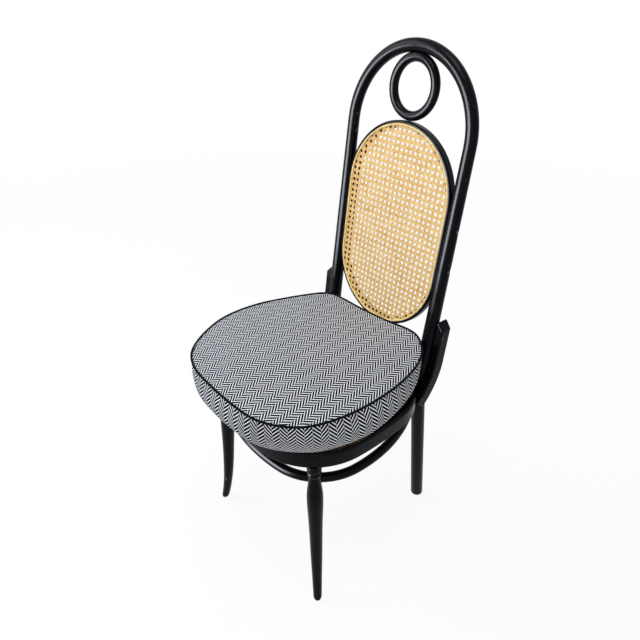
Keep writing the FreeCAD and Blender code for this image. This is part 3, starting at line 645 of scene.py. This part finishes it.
def cushion_mesh():
    """The cushion before it is filled: its side from PROFILE, closed by a grid above and below."""
    line, normals = seam_line(0.0, AROUND)
    verts, faces, uvs = [], [], []
    lengths = [0.0]
    for i in range(AROUND):
        lengths.append(lengths[-1] + (line[(i + 1) % AROUND] - line[i]).length)
    down = [0.0]
    for (o1, t1), (o2, t2) in zip(PROFILE, PROFILE[1:]):
        down.append(down[-1] + math.hypot(o2 - o1, (t2 - t1) * (FRONT_SEAM_Z - UNDER_Z)))
    for out, share in PROFILE:
        for p, n in zip(line, normals):
            far = out + belly(n) * math.sin(math.pi / 2 * min(share / BELLY_FULL, 1.0))
            verts.append((p.x + n.x * far, p.y + n.y * far, p.z + (UNDER_Z - p.z) * share))
    for j in range(len(PROFILE) - 1):
        for i in range(AROUND):
            k = (i + 1) % AROUND
            high, low = j * AROUND, (j + 1) * AROUND
            faces.append((high + i, high + k, low + k, low + i))
            uvs.append([(lengths[i], -down[j]), (lengths[i + 1], -down[j]),
                        (lengths[i + 1], -down[j + 1]), (lengths[i], -down[j + 1])])
    mesh = bpy.data.meshes.new("cushion")
    mesh.from_pydata(verts, [], faces)
    layer = mesh.uv_layers.new(name="weave")
    for face, corners in zip(mesh.polygons, uvs):
        for loop, (u, v) in zip(face.loop_indices, corners):
            layer.data[loop].uv = (u * STRIP_REPEAT[0], v * STRIP_REPEAT[1])
    pad = bpy.data.objects.new("cushion", mesh)
    scene.collection.objects.link(pad)
    only(pad)
    for level in (0, len(PROFILE) - 1):
        bpy.ops.object.mode_set(mode="EDIT")
        bpy.ops.mesh.select_mode(type="EDGE")
        bpy.ops.mesh.select_all(action="DESELECT")
        bpy.ops.object.mode_set(mode="OBJECT")
        low, high = level * AROUND, (level + 1) * AROUND
        for e in pad.data.edges:
            e.select = low <= min(e.vertices) and max(e.vertices) < high
        bpy.ops.object.mode_set(mode="EDIT")
        bpy.ops.mesh.fill_grid(span=AROUND // 4)
        bpy.ops.object.mode_set(mode="OBJECT")
    bpy.ops.object.mode_set(mode="EDIT")
    bpy.ops.mesh.select_all(action="SELECT")
    bpy.ops.mesh.normals_make_consistent(inside=False)
    bpy.ops.object.mode_set(mode="OBJECT")
    layer = pad.data.uv_layers["weave"]
    sides = (len(PROFILE) - 1) * AROUND
    for face in pad.data.polygons:
        if face.index < sides:
            continue
        for loop in face.loop_indices:
            co = pad.data.vertices[pad.data.loops[loop].vertex_index].co
            layer.data[loop].uv = [a * co.x + b * co.y for a, b in TOP_TURN]
    return pad


def inflate(pad):
    """Cloth with air pressure inside, held at the seam and along the flat underside."""
    held = {v.index for v in pad.data.vertices if v.co.z < UNDER_Z + 1e-5}
    for e in pad.data.edges:
        if e.use_seam:
            held.update(e.vertices)
    pad.vertex_groups.new(name="sewn").add(list(held), 1.0, "ADD")
    rest = [v.co.copy() for v in pad.data.vertices]
    cloth = pad.modifiers.new("cloth", "CLOTH")
    cloth.settings.quality = 6
    cloth.settings.mass = 0.25
    cloth.settings.use_pressure = True
    cloth.settings.uniform_pressure_force = 4.0
    cloth.settings.tension_stiffness = 12
    cloth.settings.compression_stiffness = 12
    cloth.settings.shear_stiffness = 6
    cloth.settings.bending_stiffness = 1.2
    cloth.settings.vertex_group_mass = "sewn"
    cloth.settings.effector_weights.gravity = 0
    for step in range(1, SWELL_STEPS + 1):
        scene.frame_set(step)
    shown = pad.evaluated_get(bpy.context.evaluated_depsgraph_get())
    swollen = [v.co.copy() for v in shown.data.vertices]
    pad.modifiers.remove(cloth)
    scene.frame_set(1)
    moves = [b - a for a, b in zip(rest, swollen)]
    top = {i for face in pad.data.polygons if face.normal.z > FACES_UP for i in face.vertices}
    top_most = max(m.length for i, m in enumerate(moves) if i in top)
    side_most = max(m.length for i, m in enumerate(moves) if i not in top)
    for i, v in enumerate(pad.data.vertices):
        share = TOP_RISE / top_most if i in top else SIDE_SWELL / side_most
        v.co = rest[i] + moves[i] * min(1.0, share)


cushion = cushion_mesh()
only(cushion)
for e in cushion.data.edges:
    e.use_seam = max(e.vertices) < AROUND and abs(e.vertices[0] - e.vertices[1]) in (1, AROUND - 1)
finer = cushion.modifiers.new("finer", "SUBSURF")
finer.subdivision_type = "SIMPLE"
finer.levels = finer.render_levels = 1
apply_all(cushion)
inflate(cushion)
smoother = cushion.modifiers.new("smoother", "SUBSURF")
smoother.levels = smoother.render_levels = 1
apply_all(cushion)
bpy.ops.object.shade_smooth()
settle(cushion, "cushion", herringbone_cotton("herringbone_cotton_cloth"))
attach(cushion, "cushion")
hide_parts("cushion_cover", "cushion_foam")

# The covered cord stands a little proud of the seam that it is sewn into.
WELT, WELT_PROUD = 0.0025, 0.0004
welt_line = [p + Vector((0, 0, WELT_PROUD)) for p in seam_line(WELT_PROUD, 320)[0]]
welt = bead("edge_cord", black_twill("black_cotton_twill"), welt_line, WELT, None, "cushion",
            ring=12)
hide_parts("cushion_cord")

# Finishes of the frame: knocked behind the arch at the sitter's left, rubbed on the rim of the seat
# ring and at the ends of the braces.
lacquer = ebonised_beech("ebonised_beech_satin_varnish")
knocked = ebonised_beech("ebonised_beech_knocked", wear_round([
    ((0.105, 0.262, 1.120), 0.05, 0.06)]))
rubbed = ebonised_beech("ebonised_beech_rubbed_rim", rim_wear, "#6B4A2D")
brace_wear = ebonised_beech("ebonised_beech_rubbed_ends", wear_round([
    ((0.190, 0.185, 0.608), 0.026, 0.09), ((-0.190, 0.185, 0.608), 0.026, 0.09),
    ((0.196, 0.120, 0.455), 0.022, 0.09), ((-0.196, 0.120, 0.455), 0.022, 0.05)]))
steel = blackened_steel("blackened_steel_screws")
finishes = {
    "back_bow": knocked, "seat_ring": rubbed, "brace_left": brace_wear, "brace_right": brace_wear}
for name in ("front_leg_left", "front_leg_right", "leg_hoop", "back_frame", "top_ring"):
    finishes[name] = lacquer
for name in ("hoop_screws", "frame_screws", "ring_screws", "brace_screws", "frame_bolts",
             "frame_washers", "frame_nuts"):
    finishes[name] = steel
for name, material in finishes.items():
    part = nodes[name]
    part.data.materials.clear()
    part.data.materials.append(material)


def seen_rays(owner):
    """1 for the rays that show the backdrop to the camera, to gloss and through glass."""
    ray = node(owner, "ShaderNodeLightPath").outputs
    direct = maths(owner, "MAXIMUM", ray["Is Camera Ray"], ray["Is Transmission Ray"])
    return maths(owner, "MAXIMUM", direct, ray["Is Glossy Ray"])


# The floor is a plain white sheet that runs to the horizon. What is seen of it is mixed with a
# plain white glow: FLOOR_NEAR of it round the chair, so that a soft shadow stays, and all of it far
# off, where the floor meets the white backdrop.
FLOOR_NEAR, FLOOR_FAR = 0.91, 1.0
FADE_FROM, FADE_TO = 0.8, 4.0


def white_floor():
    mat, shader = start_material("matte_white_floor", {
        "Base Color": colour("#FAFAFA"), "Roughness": 0.9, "Specular IOR Level": 0.0})
    glow = node(mat, "ShaderNodeEmission", inputs={"Color": (1, 1, 1, 1), "Strength": 1.0})
    far = node(mat, "ShaderNodeVectorMath", {"operation": "LENGTH"}, {0: on_piece(mat)})
    fade = spread(mat, far.outputs["Value"], FADE_FROM, FADE_TO, FLOOR_NEAR, FLOOR_FAR)
    mixed = node(mat, "ShaderNodeMixShader", inputs={
        0: maths(mat, "MULTIPLY", seen_rays(mat), fade),
        1: shader.outputs[0], 2: glow.outputs[0]})
    mat.node_tree.links.new(mixed.outputs[0], mat.node_tree.nodes["Material Output"].inputs[0])
    return mat


bpy.ops.mesh.primitive_plane_add(size=80)
floor = bpy.context.object
settle(floor, "floor", white_floor())

# The white room lights plain colours at ROOM_LIGHT. The camera and the gloss see it as white.
ROOM_LIGHT = 0.42
world = bpy.data.worlds.new("studio")
scene.world = world
world.use_nodes = True
background = world.node_tree.nodes["Background"]
background.inputs["Color"].default_value = (1, 1, 1, 1)
level = spread(world, seen_rays(world), 0.0, 1.0, ROOM_LIGHT, 1.0)
world.node_tree.links.new(level, background.inputs["Strength"])


def lamp(name, where, aim, wide, tall, power, tint, gloss_only=False):
    """A soft rectangular lamp; gloss_only keeps its light off plain colours."""
    light = bpy.data.lights.new(name, "AREA")
    light.shape = "RECTANGLE"
    light.size, light.size_y = wide, tall
    light.energy = power
    light.color = colour(tint)[:3]
    made = bpy.data.objects.new(name, light)
    scene.collection.objects.link(made)
    made.visible_diffuse = not gloss_only
    made.location = where
    made.rotation_euler = (Vector(aim) - Vector(where)).to_track_quat("-Z", "Y").to_euler()


lamp("window", (-2.1, -1.3, 2.3), (0.0, 0.0, 0.55), 1.5, 1.9, 58, "#EEF4FF")
# The pane that the varnish mirrors: it brightens the gloss and leaves plain colours as they are.
lamp("window_gleam", (-0.85, -2.3, 0.95), (0.0, 0.1, 0.9), 1.9, 1.8, 650, "#F1F3FF",
     gloss_only=True)
lamp("ceiling", (0.2, -0.3, 3.2), (0.0, 0.0, 0.5), 1.2, 1.2, 30, "#FFFFFF")
lamp("fill", (1.9, -1.9, 1.2), (0.0, 0.0, 0.5), 1.8, 1.4, 6, "#FFF8EE")

# Camera, placed and turned as the photograph was taken. PICTURE is the side of the picture and
# FOCAL the focal length, both in pixels, and AXIS is where the line of sight meets the picture.
PICTURE, FOCAL, AXIS = 640, 566.92, (334.73, 335.46)
camera_data = bpy.data.cameras.new("camera")
camera_data.sensor_width = 36.0
camera_data.lens = camera_data.sensor_width * FOCAL / PICTURE
camera_data.shift_x = (PICTURE / 2 - AXIS[0]) / PICTURE
camera_data.shift_y = (AXIS[1] - PICTURE / 2) / PICTURE
camera_data.clip_end = 200
camera = bpy.data.objects.new("camera", camera_data)
scene.collection.objects.link(camera)
right = Vector((0.65503, 0.75560, 0.00133))
up = Vector((-0.41896, 0.36173, 0.83284))
back = Vector((0.62882, -0.54609, 0.55351))
stand = Matrix.Translation((0.82786, -0.67861, 1.28253))
camera.matrix_world = stand @ Matrix((right, up, back)).transposed().to_4x4()
scene.camera = camera

scene.view_settings.view_transform = "Standard"
